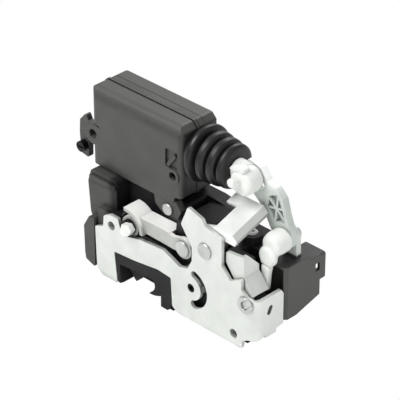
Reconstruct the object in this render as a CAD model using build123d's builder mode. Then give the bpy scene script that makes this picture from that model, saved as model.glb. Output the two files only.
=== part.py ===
from build123d import *
import os
from math import atan2, cos, degrees, hypot, pi, radians, sin

# Front door latch with its central-locking actuator. Millimetres, +Z up.
# X runs along the face plate, Y into the door. The origin is the centre of the lower right
# fixing hole, on the outer side of the face plate.

os.makedirs("parts", exist_ok=True)

# ---------------------------------------------------------------- fits
fit_gap = 0.3            # between pieces that are assembled but do not run on each other
running_fit = 0.05       # radial, shafts and rivets in their bores
slide_gap = 0.4          # between stacked levers

# ---------------------------------------------------------------- face plate
steel = 2.0              # pressed sheet
fixing_radius = 2.5      # M6 tapped hole, minor radius
fixing_a = (-88.1, 24.7)
fixing_b = (0.0, 0.0)
collar_wall = 1.6        # extruded collar round each tapped hole
collar_length = 1.8
flange_x = 15.0          # outer side of the return flange
flange_depth = 20.3
flange_top = 24.3
flange_foot = 2.6
bend_radius = 5.0        # outer radius of the bend
mouth_left = -86.0
mouth_right = -44.6
mouth_top = 12.6
plate_foot = -6.4
leg_foot = -8.8

# ---------------------------------------------------------------- latch housing
housing_depth = 30.0     # back face of the moulding behind the plate
housing_wall = 2.2
housing_foot = -8.6
rim_left = -108.4        # moulded rim beside the face plate
liner_face = 0.3         # front of the mouth liner, behind the plate's outer side
liner_left = -82.6
liner_right = -52.2
liner_top = 5.0
tray_top = 30.2          # top of the fork chamber
tray_right = -44.0
shelf_top = 40.0         # moulded top beside the levers
shelf_face = 8.3
shelf_right = 1.9
tower_top = 47.9         # top of the block that carries the actuator
tower_left = -110.0
tower_right = -47.5
tower_face = 15.4
pad_face = 6.0           # front of the upper left pad
pad_right = -90.0
post = (-10.4, 24.0)     # upright stud in the shelf, X and Y
post_radius = 2.9
post_top = 45.6
boss_radius = 5.6
boss_top = 44.6
cover_depth = 9.0        # rear cover behind the housing
screw_radius = 1.5
screw_head = 2.9
screw_grip = 9.0         # screwed length in the housing
screw_places = [(-95.6, 0.0), (-12.0, -1.8), (-104.0, 42.0), (-74.0, 41.0), (-17.5, 33.0)]

# ---------------------------------------------------------------- latch mechanism
fork_pivot = (-65.0, 8.4)
fork_radius = 17.0
fork_thick = 6.0
fork_face = 4.7          # front side of the fork, behind the plate's outer side
coat = 1.0               # plastic moulded round the steel fork
striker_radius = 4.0
striker_side = 8.0       # latched striker, left of the fork pivot
striker_drop = 7.6       # latched striker, below the fork pivot
fork_stroke = 44.0       # degrees from open to latched
fork_pin_radius = 4.0
tooth_angle = -10.0      # main tooth of the latched fork, seen from its pivot
tooth_pitch = 20.0       # from the main tooth to the half-latch tooth
tooth_depth = 3.6
pawl_thick = 4.0
pawl_face = 7.0
pawl_eye = 5.5
pawl_nose = 2.6          # radius of the nose
pawl_heel = 3.6          # radius of the cam below the outside lever's pin
back_plate_face = 13.0   # steel plate that carries the inner ends of the rivets
back_plate_thick = 1.8

# ---------------------------------------------------------------- levers
lever_sheet = 2.0
lever_face = steel + slide_gap
locking_pivot = (-20.1, 40.0)    # shared by the pawl and the locking lever
inner_pivot = (8.4, 21.2)
bellcrank_pivot = (-30.1, 13.2)
arc_radius = 9.2         # guide slot round the bellcrank pivot
arc_width = 4.6
rivet_radius = 2.5
rivet_head = 4.4
rivet_cap = 1.2
outer_pivot = (-76.5, 28.6)      # boss of the outside release lever
outer_end = (-36.3, 33.9)        # disc at the end of that lever, over the pawl
outer_disc = 5.8
outer_pin = 2.2
outer_boss = 4.2
outer_hub = 5.9
hub_face = 4.8
coil_radius = 7.4        # middle of the return spring round the lever's hub
coil_wire = 1.2
flap_radius = 12.6       # outer side of the curved flap
flap_wall = 2.0
flap_face = -1.0
flap_depth = 11.0
web_face = 1.0           # long web of the outside release lever

# ---------------------------------------------------------------- actuator
act_left = -113.4
act_right = -47.2
act_front = 11.0
act_back = 37.0
act_foot = 48.4
act_top = 93.6
act_seam = 24.3          # joint between front shell and rear cover
act_wall = 2.0
act_round = 4.6          # rounding of the upper front edge
lug_rivet = (-57.5, 43.4)
rivet_small = 1.9
rod_y = 24.0
rod_z = 77.5
rod_radius = 3.0
rod_travel = 14.0
pin_x = -13.0            # cross pin of the rod end
pin_radius = 2.5
clip_radius = 6.2        # moulded clip on the rod's end

# ---------------------------------------------------------------- link arm
arm_face = 27.0
arm_thick = 4.0
knob_x = 8.5
knob_z = 48.0
knob_radius = 6.0
link_play = 0.8          # of the rod's cross pin in the arm's slot
crank_face = 14.5
crank_thick = 4.0

# ---------------------------------------------------------------- drive inside the actuator
rack_module = 1.0
pinion_teeth = 12
wheel_module = 0.8
wheel_teeth = 32
motor_teeth = 10
gear_x = -78.0
rack_drop = 3.5          # pitch line of the rack below the rod's axis
motor_radius = 8.5
motor_face = 21.5
gear_pin_radius = 1.5

# ---------------------------------------------------------------- connector
plug_left = 0.0
plug_right = 16.0
plug_front = 20.8
plug_back = 46.0
plug_top = 36.0
plug_foot = 5.0


def facing(y):
    """Plane parallel to the face plate, y behind its outer side: local axes are X and Z."""
    return Plane.XZ.offset(-y)


def across(x):
    """Plane across the plate at x, seen from the right: local axes are Y and Z."""
    return Plane.YZ.offset(x)


def level(z):
    """Horizontal plane at z, seen from above: local axes are X and Y."""
    return Plane.XY.offset(z)


def polar(centre, radius, angle):
    """Point at a radius and an angle in degrees from a centre, seen from the front."""
    return (centre[0] + radius * cos(radians(angle)), centre[1] + radius * sin(radians(angle)))


def bar(plane, centre, radius, length, mode=Mode.ADD):
    """Round bar or round cut that starts on a plane and goes away from its viewer."""
    with BuildSketch(plane) as disc:
        with Locations(centre):
            Circle(radius)
    extrude(disc.sketch, amount=-length, mode=mode)


def block(plane, low, high, length, corner=0.0, mode=Mode.ADD):
    """Rectangular block between two corners, going away from the plane's viewer."""
    with BuildSketch(plane) as rectangle:
        with Locations(((low[0] + high[0]) / 2, (low[1] + high[1]) / 2)):
            Rectangle(high[0] - low[0], high[1] - low[1])
        if corner:
            fillet(rectangle.vertices(), corner)
    extrude(rectangle.sketch, amount=-length, mode=mode)


def plate(plane, outline, length, corner=0.0, grow=0.0, mode=Mode.ADD):
    """Flat piece with a closed outline and rounded corners, going away from the viewer."""
    with BuildSketch(plane) as shape:
        with BuildLine():
            Polyline(*outline, close=True)
        make_face()
        if corner:
            fillet(shape.vertices(), corner)
        if grow:
            offset(amount=grow)
    extrude(shape.sketch, amount=-length, mode=mode)


def hull(plane, circles, length, mode=Mode.ADD):
    """Flat lever arm round a list of (centre, radius) circles, going away from the viewer."""
    with BuildSketch(plane) as shape:
        for centre, radius in circles:
            with Locations(centre):
                Circle(radius)
        make_hull()
    extrude(shape.sketch, amount=-length, mode=mode)


def ring_part(plane, centre, outer, inner, start, sweep, length, mode=Mode.ADD):
    """Part of a round wall between two radii and two angles, going away from the viewer."""
    with BuildSketch(plane) as shape:
        with BuildLine():
            CenterArc(centre, outer, start, sweep)
            CenterArc(centre, inner, start, sweep)
            Line(polar(centre, inner, start), polar(centre, outer, start))
            Line(polar(centre, inner, start + sweep), polar(centre, outer, start + sweep))
        make_face()
    extrude(shape.sketch, amount=-length, mode=mode)


def coil(centre, y, radius, wire, turns, pitch):
    """Coil spring wound round an axis along Y, starting at depth y."""
    helix = Helix(pitch, turns * pitch, radius, center=(centre[0], y + wire / 2, centre[1]),
                  direction=(0, 1, 0), mode=Mode.PRIVATE)
    with BuildSketch(Plane(origin=helix @ 0, z_dir=helix % 0)) as section:
        Circle(wire / 2)
    sweep(section.sketch, path=helix, is_frenet=True)


def arc_slot(plane, centre, radius, width, start, sweep, length, mode=Mode.SUBTRACT):
    """Slot bent round a centre, seen from the front."""
    ring_part(plane, centre, radius + width / 2, radius - width / 2, start, sweep, length, mode)
    for angle in (start, start + sweep):
        bar(plane, polar(centre, radius, angle), width / 2, length, mode)


# ================================================================ face plate
# An L-shaped sheet is trimmed by its front outline and by the outline of its return flange.
with BuildPart() as face_plate:
    with BuildSketch(level(leg_foot - 1)) as bent_sheet:
        with BuildLine():
            Polyline(
                (rim_left, 0), (flange_x, 0), (flange_x, flange_depth),
                (flange_x - steel, flange_depth), (flange_x - steel, steel),
                (rim_left, steel), close=True,
            )
        make_face()
        outer_corner = bent_sheet.vertices().sort_by_distance((flange_x, 0, leg_foot - 1))[0]
        fillet(outer_corner, bend_radius)
        inner_corner = bent_sheet.vertices().sort_by_distance(
            (flange_x - steel, steel, leg_foot - 1))[0]
        fillet(inner_corner, bend_radius - steel)
    extrude(amount=75)
    with BuildSketch(facing(-1)) as front_outline:
        with BuildLine():
            Polyline(
                (-95.5, leg_foot), (-99.8, -5.4), (-100.6, 19.4), (-94.4, 22.0), (-93.8, 28.6),
                (-89.2, 31.0), (-83.2, 31.0), (-81.0, 24.6), (-76.0, 23.4), (-66.8, 25.6),
                (-50.5, 27.0), (-44.0, 24.6), (-38.5, 22.2), (-32.5, 23.8), (-29.4, 30.0),
                (-29.4, 38.0), (-37.0, 48.6), (-32.2, 60.2), (-22.4, 57.4), (-20.4, 54.2),
                (-8.6, 51.6), (-8.6, 36.0), (-2.8, 30.2), (1.6, 32.6), (5.0, 34.4),
                (5.0, 28.0), (9.0, 25.2), (flange_x + 1, flange_top),
                (flange_x + 1, 1.0), (10.0, 0.6), (6.0, -1.8), (5.6, plate_foot),
                (-40.0, plate_foot), (-43.6, -4.0), (mouth_right, mouth_top),
                (-54.0, mouth_top + 0.8), (mouth_left + 15, mouth_top - 1.6),
                (mouth_left - 0.4, mouth_top - 2.8), (mouth_left + 1.6, leg_foot),
                close=True,
            )
        make_face()
        fillet(front_outline.vertices(), 0.8)
    extrude(amount=-flange_depth - 5, mode=Mode.INTERSECT)
    with BuildSketch(across(flange_x + 1)) as side_outline:
        with BuildLine():
            Polyline(
                (-2, leg_foot - 2), (2.1, leg_foot - 2), (2.1, 1.0), (7.4, flange_foot),
                (7.6, -7.0), (14.8, -7.0), (15.2, flange_foot + 0.6),
                (flange_depth + 1, flange_foot + 1.4), (flange_depth + 1, flange_top - 4),
                (18.6, flange_top), (2.1, flange_top), (2.1, 70), (-2, 70), close=True,
            )
        make_face()
    extrude(amount=-140, mode=Mode.INTERSECT)
    for centre in (fixing_a, fixing_b):
        bar(facing(steel), centre, fixing_radius + collar_wall, collar_length)
        bar(facing(-1), centre, fixing_radius, steel + collar_length + 2, Mode.SUBTRACT)
    bar(facing(-1), bellcrank_pivot, 2.4 + running_fit, steel + 2, Mode.SUBTRACT)
    arc_slot(facing(-1), bellcrank_pivot, arc_radius, arc_width, -76, 150, steel + 2)
    for centre in (locking_pivot, inner_pivot):
        bar(facing(-1), centre, rivet_radius + running_fit, steel + 2, Mode.SUBTRACT)
    with BuildSketch(across(flange_x + 1)) as flange_slot:
        with Locations(Location((10.4, 16.3), 65)):
            SlotOverall(5.4, 2.8)
    extrude(amount=-6, mode=Mode.SUBTRACT)
face_plate.part.label = "face_plate"
export_step(face_plate.part, "parts/face_plate.step")


# ================================================================ latch housing
chamber_face = lever_face + lever_sheet + slide_gap      # front of the moulding behind the levers
cavity_face = fork_face - slide_gap                      # rear side of the wall before the fork
pawl_cavity = pawl_face - slide_gap
housing_right = flange_x - steel - fit_gap
rear_room = [
    (-98.0, -6.2), (-98.0, tray_top - 2), (-56.0, tray_top - 2), (-43.0, 44.4), (-24.5, 44.4),
    (-24.5, 15.5), (-3.0, 15.5), (-3.0, -3.6), (-48.0, -3.6), (-48.0, -6.2),
]
nose_centre = polar(fork_pivot, fork_radius + fit_gap + pawl_nose, tooth_angle + 2)
heel_centre = (outer_end[0] + 0.3, outer_end[1] - outer_pin - fit_gap - pawl_heel)

with BuildPart() as latch_housing:
    # fork chamber with the rim beside the plate, behind the plate's left half
    plate(
        facing(steel),
        [(-100.4, housing_foot), (-100.4, tray_top), (-52.0, tray_top), (tray_right, 21.0),
         (tray_right, housing_foot)],
        housing_depth - steel, corner=1.0,
    )
    plate(
        facing(-0.4),
        [(rim_left + 0.6, -3.8), (rim_left, 0.0), (rim_left - 0.4, 16.5), (-104.6, 23.8),
         (-100.9, 23.8), (-100.9, -6.2)],
        housing_depth + 0.4, corner=0.8,
    )
    block(facing(5.0), (-102.0, 0.0), (-99.0, 20.0), 10.0)
    # pawl chamber and the foot behind the plate's right half
    plate(
        facing(chamber_face),
        [(-46.0, -5.8), (-46.0, 34.0), (-44.5, 46.0), (-27.0, 47.0), (-22.0, shelf_top),
         (-22.0, 18.0), (housing_right, 18.0), (housing_right, 4.0), (6.0, 0.0), (6.0, -5.8)],
        housing_depth - chamber_face, corner=1.2,
    )
    hull(facing(chamber_face), [(inner_pivot, 3.6), ((inner_pivot[0], 15.0), 3.6)], 7.2)
    # shelf beside the levers, with the boss of the upright stud
    block(facing(shelf_face), (-30.0, 12.0), (shelf_right, shelf_top), housing_depth - shelf_face,
          corner=1.0)
    bar(level(shelf_top - 3), post, boss_radius, -(boss_top - shelf_top + 3))
    # tower under the actuator and the pad at its left
    block(facing(tower_face), (tower_left, 20.0), (tower_right, tower_top),
          housing_depth - tower_face, corner=1.5)
    plate(
        facing(pad_face),
        [(tower_left + 3.0, 15.0), (tower_left, 22.0), (tower_left - 1.5, 40.0),
         (tower_left + 1.0, tower_top), (pad_right, tower_top), (pad_right, 26.0),
         (-99.6, 26.0), (-99.6, 15.0)],
        housing_depth - pad_face, corner=1.5,
    )
    block(facing(pad_face - 1.6), (tower_left + 1.0, 42.8), (pad_right + 0.5, 45.6), 4.0, corner=1.0)
    # liner of the striker mouth, in the plate's cut-out
    plate(
        facing(liner_face),
        [(mouth_left + 1.9, leg_foot + 0.6), (mouth_left, mouth_top - 3.4),
         (mouth_left + 15, mouth_top - 2.2), (-54.0, mouth_top + 0.2),
         (mouth_right - 0.6, mouth_top - 0.6), (mouth_right + 0.2, -4.4),
         (tray_right - 3, housing_foot)],
        3.0, corner=1.2,
    )

    # chambers, open to the rear
    bar(facing(cavity_face), fork_pivot, fork_radius + 0.7, housing_depth, Mode.SUBTRACT)
    hull(facing(pawl_cavity),
         [(locking_pivot, pawl_eye + 1.5), (heel_centre, pawl_heel + 1.2), (nose_centre, 5.0),
          ((-37.5, 1.4), 4.6)],
         housing_depth, Mode.SUBTRACT)
    plate(facing(back_plate_face), rear_room, housing_depth, corner=1.0, mode=Mode.SUBTRACT)
    # striker mouth, open below and to the front
    plate(
        facing(-1),
        [(liner_left + 0.8, -20), (liner_left, liner_top - 1.6), (liner_left + 12, liner_top - 0.6),
         (liner_right, liner_top), (liner_right, -20)],
        back_plate_face + 1, mode=Mode.SUBTRACT,
    )
    # well and boss of the outside release lever
    bar(facing(-1), outer_pivot, coil_radius + coil_wire + 0.4, hub_face + lever_sheet + 1 + slide_gap,
        Mode.SUBTRACT)
    plate(
        facing(-2),
        [outer_pivot, (-76.5, tray_top + 1), (-58.0, tray_top + 1), (-50.0, 45.0), (-43.0, 45.0),
         (-43.0, 27.0), (-52.0, 27.4), (-62.0, 27.8)],
        2 + web_face + lever_sheet + slide_gap, mode=Mode.SUBTRACT,
    )
    plate(
        facing(-2),
        [(-76.5, 27.8), (-76.5, 46.0), (-46.2, 46.0), (-46.2, 31.0), (-58.0, 31.0), (-62.0, 27.8)],
        2 + flap_face + flap_depth + 0.8, mode=Mode.SUBTRACT,
    )
    bar(facing(-0.5), outer_pivot, outer_boss, back_plate_face + 0.5)
    bar(facing(-1), outer_pivot, 2.2 + running_fit, 6.4, Mode.SUBTRACT)
    # window for the pin of the outside release lever
    hull(facing(steel), [(outer_end, outer_pin + 1),
                         ((outer_end[0] + 0.4, outer_end[1] - 3.6), outer_pin + 1)],
         pawl_face + pawl_thick + 0.8 - steel, Mode.SUBTRACT)
    # seat of the rubber stop above the latched striker
    block(facing(1.2), (liner_left + 4.0, liner_top - 2), (liner_left + 12.0, liner_top + 2.0), 3.4,
          mode=Mode.SUBTRACT)
    # way for the lock crank, pocket beside it and the seat of the connector
    block(facing(crank_face - 0.8), (-7.6, 20.0), (shelf_right + 5, shelf_top + 1),
          crank_thick + 1.6, mode=Mode.SUBTRACT)
    block(facing(plug_front), (plug_left, -20.0), (40.0, shelf_top + 1),
          housing_depth, mode=Mode.SUBTRACT)
    # bores of the rivets and of the stud
    bar(facing(0), locking_pivot, rivet_radius + running_fit, back_plate_face, Mode.SUBTRACT)
    bar(facing(0), bellcrank_pivot, 2.4 + running_fit, 9.0, Mode.SUBTRACT)
    bar(facing(0), inner_pivot, rivet_radius + running_fit, 13.0, Mode.SUBTRACT)
    bar(facing(0), lug_rivet, rivet_small + running_fit, 22.0, Mode.SUBTRACT)
    bar(facing(steel + 0.9), fork_pivot, fork_pin_radius + running_fit, 6, Mode.SUBTRACT)
    bar(level(boss_top + 1), post, post_radius + running_fit, 14, Mode.SUBTRACT)
    for centre in (fixing_a, fixing_b):
        bar(facing(steel), centre, fixing_radius + collar_wall + fit_gap, 12.0, Mode.SUBTRACT)
    for centre in ((-95.6, 0.0), (-12.0, -1.8)):
        bar(facing(back_plate_face + back_plate_thick + fit_gap), centre, screw_radius + 1.9,
            housing_depth - back_plate_face - back_plate_thick - fit_gap)
    for centre in screw_places:
        bar(facing(housing_depth - screw_grip), centre, screw_radius, screw_grip, Mode.SUBTRACT)
latch_housing.part.label = "latch_housing"
export_step(latch_housing.part, "parts/latch_housing.step")

# ================================================================ rear side of the latch
with BuildPart() as back_plate:
    plate(facing(back_plate_face), rear_room, back_plate_thick, corner=1.0, grow=-fit_gap)
    bar(facing(back_plate_face - 1), fork_pivot, fork_pin_radius - 1, 5, Mode.SUBTRACT)
    bar(facing(back_plate_face - 1), locking_pivot, rivet_radius - 0.5, 5, Mode.SUBTRACT)
    for hole in ((-84.0, -2.0), (-36.0, 5.0)):
        bar(facing(back_plate_face - 1), hole, 2.2, 5, Mode.SUBTRACT)
back_plate.part.label = "back_plate"
export_step(back_plate.part, "parts/back_plate.step")

cover_outline = [
    (-99.8, -8.0), (-99.8, 21.0), (-108.8, 21.0), (-108.8, 47.6), (-43.0, 47.6), (-28.0, 45.6),
    (-22.6, 39.4), (-0.6, 39.4), (-0.6, -5.2), (-45.0, -5.2), (-47.0, -8.0),
]
with BuildPart() as rear_cover:
    plate(facing(housing_depth), cover_outline, cover_depth, corner=1.5)
    fillet(rear_cover.faces().sort_by(Axis.Y)[-1].outer_wire().edges(), 1.4)
    plate(facing(housing_depth), rear_room, cover_depth - housing_wall, corner=1.0, grow=0.4,
          mode=Mode.SUBTRACT)
    for height in (4.0, 12.0, 20.0):
        block(facing(housing_depth + cover_depth - 1), (-88.0, height), (-52.0, height + 2.4), 2)
    bar(facing(housing_depth + cover_depth - 1), (-32.0, 24.0), 8.0, 2)
    bar(facing(housing_depth + cover_depth - 2), (-32.0, 24.0), 5.4, 4, Mode.SUBTRACT)
    for centre in screw_places:
        bar(facing(housing_depth), centre, screw_radius + 2.2, cover_depth)
        bar(facing(housing_depth - 1), centre, screw_radius + fit_gap, cover_depth + 2, Mode.SUBTRACT)
rear_cover.part.label = "rear_cover"
export_step(rear_cover.part, "parts/rear_cover.step")

with BuildPart() as housing_screws:
    for centre in screw_places:
        bar(facing(housing_depth + cover_depth), centre, screw_head, 2.2)
        bar(facing(housing_depth - screw_grip + 0.5), centre, screw_radius,
            screw_grip + cover_depth - 0.5)
    fillet(housing_screws.faces().sort_by(Axis.Y)[-1:].edges(), 0.8)
    for x, z in screw_places:
        for turned in (0, 60, 120):
            with BuildSketch(facing(housing_depth + cover_depth + 1.2)) as drive:
                with Locations(Location((x, z), turned)):
                    Rectangle(3.2, 1.0)
            extrude(drive.sketch, amount=-2, mode=Mode.SUBTRACT)
housing_screws.part.label = "housing_screws"
export_step(housing_screws.part, "parts/housing_screws.step")

# ================================================================ pins and rivets
with BuildPart() as fork_pin:
    bar(facing(steel + 1.0), fork_pivot, fork_pin_radius, back_plate_face - steel - 1.0)
    bar(facing(back_plate_face), fork_pivot, fork_pin_radius - 1, back_plate_thick)
    bar(facing(back_plate_face + back_plate_thick), fork_pivot, fork_pin_radius + 0.6, 1.6)
    chamfer(fork_pin.faces().sort_by(Axis.Y)[-1].edges(), 0.5)
fork_pin.part.label = "fork_pin"
export_step(fork_pin.part, "parts/fork_pin.step")

with BuildPart() as locking_rivet:
    bar(facing(-rivet_cap), locking_pivot, rivet_head, rivet_cap)
    bar(facing(0), locking_pivot, rivet_radius, back_plate_face)
    bar(facing(back_plate_face), locking_pivot, rivet_radius - 0.5, back_plate_thick)
    bar(facing(back_plate_face + back_plate_thick), locking_pivot, rivet_radius + 1, 1.4)
    fillet(locking_rivet.faces().sort_by(Axis.Y)[0].edges(), 0.7)
    chamfer(locking_rivet.faces().sort_by(Axis.Y)[-1].edges(), 0.5)
locking_rivet.part.label = "locking_rivet"
export_step(locking_rivet.part, "parts/locking_rivet.step")

with BuildPart() as inner_pin:
    bar(facing(-1.6), inner_pivot, rivet_head + 0.3, 1.6)
    bar(facing(0), inner_pivot, rivet_radius, 12.0)
    fillet(inner_pin.faces().sort_by(Axis.Y)[0].edges(), 0.6)
    hull(facing(-2), [(inner_pivot, 2.3), ((inner_pivot[0] + 3.4, inner_pivot[1] + 3.4), 2.0)],
         1.4, Mode.SUBTRACT)
inner_pin.part.label = "inner_pin"
export_step(inner_pin.part, "parts/inner_pin.step")

with BuildPart() as bellcrank_pin:
    bar(facing(0.2), bellcrank_pivot, 2.4, pawl_face - slide_gap - 0.3)
    bar(facing(0), bellcrank_pivot, 1.4, 3.0, Mode.SUBTRACT)
bellcrank_pin.part.label = "bellcrank_pin"
export_step(bellcrank_pin.part, "parts/bellcrank_pin.step")

with BuildPart() as housing_stud:
    bar(level(post_top), post, post_radius, 13.0)
    chamfer(housing_stud.faces().sort_by(Axis.Z)[-1].edges(), 0.6)
    bar(level(post_top + 1), post, 1.3, 4.0, Mode.SUBTRACT)
housing_stud.part.label = "housing_stud"
export_step(housing_stud.part, "parts/housing_stud.step")

# ================================================================ fork
slot_centre = (-striker_side, -striker_drop)


def fork_plane(y):
    """Front-facing plane centred on the fork pivot and turned with the open fork, so that a
    fork drawn on it as it stands when latched comes out open."""
    turned = (cos(radians(fork_stroke)), 0, sin(radians(fork_stroke)))
    return Plane(origin=(fork_pivot[0], y, fork_pivot[1]), x_dir=turned, z_dir=(0, -1, 0))


def fork_outline(plane, inset):
    """Latched fork seen from the front, drawn back by an inset: a disc with the striker slot,
    two teeth for the pawl, a trimmed upper arm and a relief behind the lower jaw."""
    with BuildSketch(plane) as shape:
        Circle(fork_radius - inset)
        with BuildSketch(plane, mode=Mode.PRIVATE) as slot:
            with Locations(slot_centre, (slot_centre[0] - 30, slot_centre[1])):
                Circle(striker_radius + fit_gap + inset)
            make_hull()
        add(slot.sketch_local, mode=Mode.SUBTRACT)
        with BuildSketch(plane, mode=Mode.PRIVATE) as teeth:
            for turned, sweep, depth in ((0, 26, tooth_depth), (tooth_pitch, 7, tooth_depth - 1)):
                start = tooth_angle - turned
                floor = fork_radius - depth - inset
                with BuildLine():
                    Polyline(
                        polar((0, 0), fork_radius + 2, start - 2),
                        polar((0, 0), floor, start + 3),
                        polar((0, 0), floor, start + sweep),
                        polar((0, 0), fork_radius + 2, start + sweep + 6),
                        close=True,
                    )
                make_face()
        add(teeth.sketch_local, mode=Mode.SUBTRACT)
        with BuildSketch(plane, mode=Mode.PRIVATE) as arm_trim:
            with BuildLine():
                Polyline((-30, 4.0 - inset), (-12 - inset, 6.5 - inset), (-9 - inset, 20), (-30, 20),
                         close=True)
            make_face()
        add(arm_trim.sketch_local, mode=Mode.SUBTRACT)
        with BuildSketch(plane, mode=Mode.PRIVATE) as jaw_relief:
            with BuildLine():
                Polyline((-6.4, -20), (1.6, -9.9 + inset), (5.5, -11.5 + inset),
                         (7.6 - inset, -20), close=True)
            make_face()
        add(jaw_relief.sketch_local, mode=Mode.SUBTRACT)
    return shape.sketch


with BuildPart() as fork_core:
    extrude(fork_outline(fork_plane(fork_face + coat), coat), amount=-(fork_thick - 2 * coat))
    bar(facing(0), fork_pivot, fork_pin_radius + running_fit, 20, Mode.SUBTRACT)
fork_core.part.label = "fork_core"
export_step(fork_core.part, "parts/fork_core.step")

with BuildPart() as fork_coating:
    extrude(fork_outline(fork_plane(fork_face), 0), amount=-fork_thick)
    extrude(fork_outline(fork_plane(fork_face + coat), coat), amount=-(fork_thick - 2 * coat),
            mode=Mode.SUBTRACT)
    bar(facing(0), fork_pivot, fork_pin_radius + 1.6, 20, Mode.SUBTRACT)
fork_coating.part.label = "fork_coating"
export_step(fork_coating.part, "parts/fork_coating.step")

with BuildPart() as fork_spring:
    coil(fork_pivot, fork_face + fork_thick + 0.1, fork_pin_radius + 0.9, 0.9, 1.3, 0.95)
fork_spring.part.label = "fork_spring"
export_step(fork_spring.part, "parts/fork_spring.step")

with BuildPart() as striker_buffer:
    block(facing(1.2), (liner_left + 4.0, liner_top - 0.6), (liner_left + 12.0, liner_top + 2.0), 3.0)
    fillet(striker_buffer.edges().filter_by(Axis.Y).group_by(Axis.Z)[0], 1.0)
striker_buffer.part.label = "striker_buffer"
export_step(striker_buffer.part, "parts/striker_buffer.step")

# ================================================================ pawl
with BuildPart() as pawl:
    hull(facing(pawl_face), [(locking_pivot, pawl_eye), (nose_centre, pawl_nose)], pawl_thick)
    hull(facing(pawl_face), [((-28.9, heel_centre[1]), pawl_heel), (heel_centre, pawl_heel)], pawl_thick)
    bar(facing(0), locking_pivot, rivet_radius + running_fit, 20, Mode.SUBTRACT)
pawl.part.label = "pawl"
export_step(pawl.part, "parts/pawl.step")

with BuildPart() as pawl_spring:
    coil(locking_pivot, pawl_face + pawl_thick + 0.1, rivet_radius + 0.8, 0.8, 2, 0.85)
pawl_spring.part.label = "pawl_spring"
export_step(pawl_spring.part, "parts/pawl_spring.step")

# ================================================================ outside release lever
web_top = outer_pivot[1] + 9.6
with BuildPart() as outside_release_lever:
    ring_part(facing(flap_face), outer_pivot, flap_radius, flap_radius - flap_wall, 4, 91, flap_depth)
    # hub behind the spring, joined to the curved flap
    bar(facing(steel + 0.4), outer_pivot, outer_hub, hub_face + lever_sheet - steel - 0.4)
    ring_part(facing(hub_face), outer_pivot, flap_radius - 1, outer_hub - 1, 8, 84, lever_sheet)
    # long web with its top flange
    plate(
        facing(web_face),
        [(-67.5, web_top), (-50.0, web_top + 0.4), (-43.6, web_top - 0.6), (-38.0, 39.0),
         (-42.0, 30.0), (-52.0, 30.4), (-64.6, 30.6), (-65.0, 33.0)],
        lever_sheet, corner=0.6,
    )
    plate(
        facing(web_face),
        [(-67.8, web_top - flap_wall), (-67.8, web_top), (-50.0, web_top + 0.4),
         (-46.6, web_top), (-46.6, web_top - flap_wall)],
        flap_face + flap_depth - web_face,
    )
    bar(facing(web_face - 0.4), outer_end, outer_disc, lever_sheet + 0.4)
    bar(facing(-2), outer_pivot, outer_boss + running_fit, 20, Mode.SUBTRACT)
    bar(facing(-2), outer_end, outer_pin, 20, Mode.SUBTRACT)
outside_release_lever.part.label = "outside_release_lever"
export_step(outside_release_lever.part, "parts/outside_release_lever.step")

with BuildPart() as outside_lever_pin:
    bar(facing(web_face - 0.4 - rivet_cap), outer_end, rivet_head, rivet_cap)
    bar(facing(web_face - 0.4), outer_end, outer_pin, pawl_face + pawl_thick - web_face)
    fillet(outside_lever_pin.faces().sort_by(Axis.Y)[0].edges(), 0.6)
outside_lever_pin.part.label = "outside_lever_pin"
export_step(outside_lever_pin.part, "parts/outside_lever_pin.step")

with BuildPart() as outside_lever_spring:
    coil(outer_pivot, steel + 0.15, coil_radius, coil_wire, 1.0, coil_wire + 0.05)
outside_lever_spring.part.label = "outside_lever_spring"
export_step(outside_lever_spring.part, "parts/outside_lever_spring.step")

with BuildPart() as lever_stop:
    plate(
        facing(-3.6),
        [(-78.2, 26.6), (-76.6, 32.4), (-71.8, 33.6), (-69.6, 30.6), (-72.0, 27.0), (-75.6, 25.4)],
        3.1, corner=0.7,
    )
    bar(facing(-0.6), outer_pivot, 2.2, 5.0)
lever_stop.part.label = "lever_stop"
export_step(lever_stop.part, "parts/lever_stop.step")

# ================================================================ locking levers
with BuildPart() as locking_bellcrank:
    hull(facing(lever_face), [(bellcrank_pivot, 4.6), (polar(bellcrank_pivot, arc_radius, 20), 2.8)],
         lever_sheet)
    hull(facing(lever_face), [(bellcrank_pivot, 4.6), (polar(bellcrank_pivot, arc_radius, 110), 2.8)],
         lever_sheet)
    bar(facing(0.1), polar(bellcrank_pivot, arc_radius, 20), 1.5, lever_face)
    bar(facing(0), bellcrank_pivot, 2.4 + running_fit, 8, Mode.SUBTRACT)
locking_bellcrank.part.label = "locking_bellcrank"
export_step(locking_bellcrank.part, "parts/locking_bellcrank.step")

strip_foot = 53.6        # underside of the bridge strip at its front
strip_head = 61.2        # and at its back
strip_depth = 25.4
strip_left = -15.4
strip_fold = -3.6        # where the strip turns down into its flank
strip_right = -0.6
strip_sheet = 1.6


def strip_section(x, drop):
    """Section of the bridge strip across the plate at x, lowered by a drop."""
    with BuildSketch(across(x)) as section:
        with BuildLine():
            Polyline(
                (lever_face, strip_foot - drop), (lever_face, strip_foot + strip_sheet - drop),
                (strip_depth - 0.6, strip_head + strip_sheet - drop), (strip_depth, strip_head - drop),
                close=True,
            )
        make_face()
    return section.sketch


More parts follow.
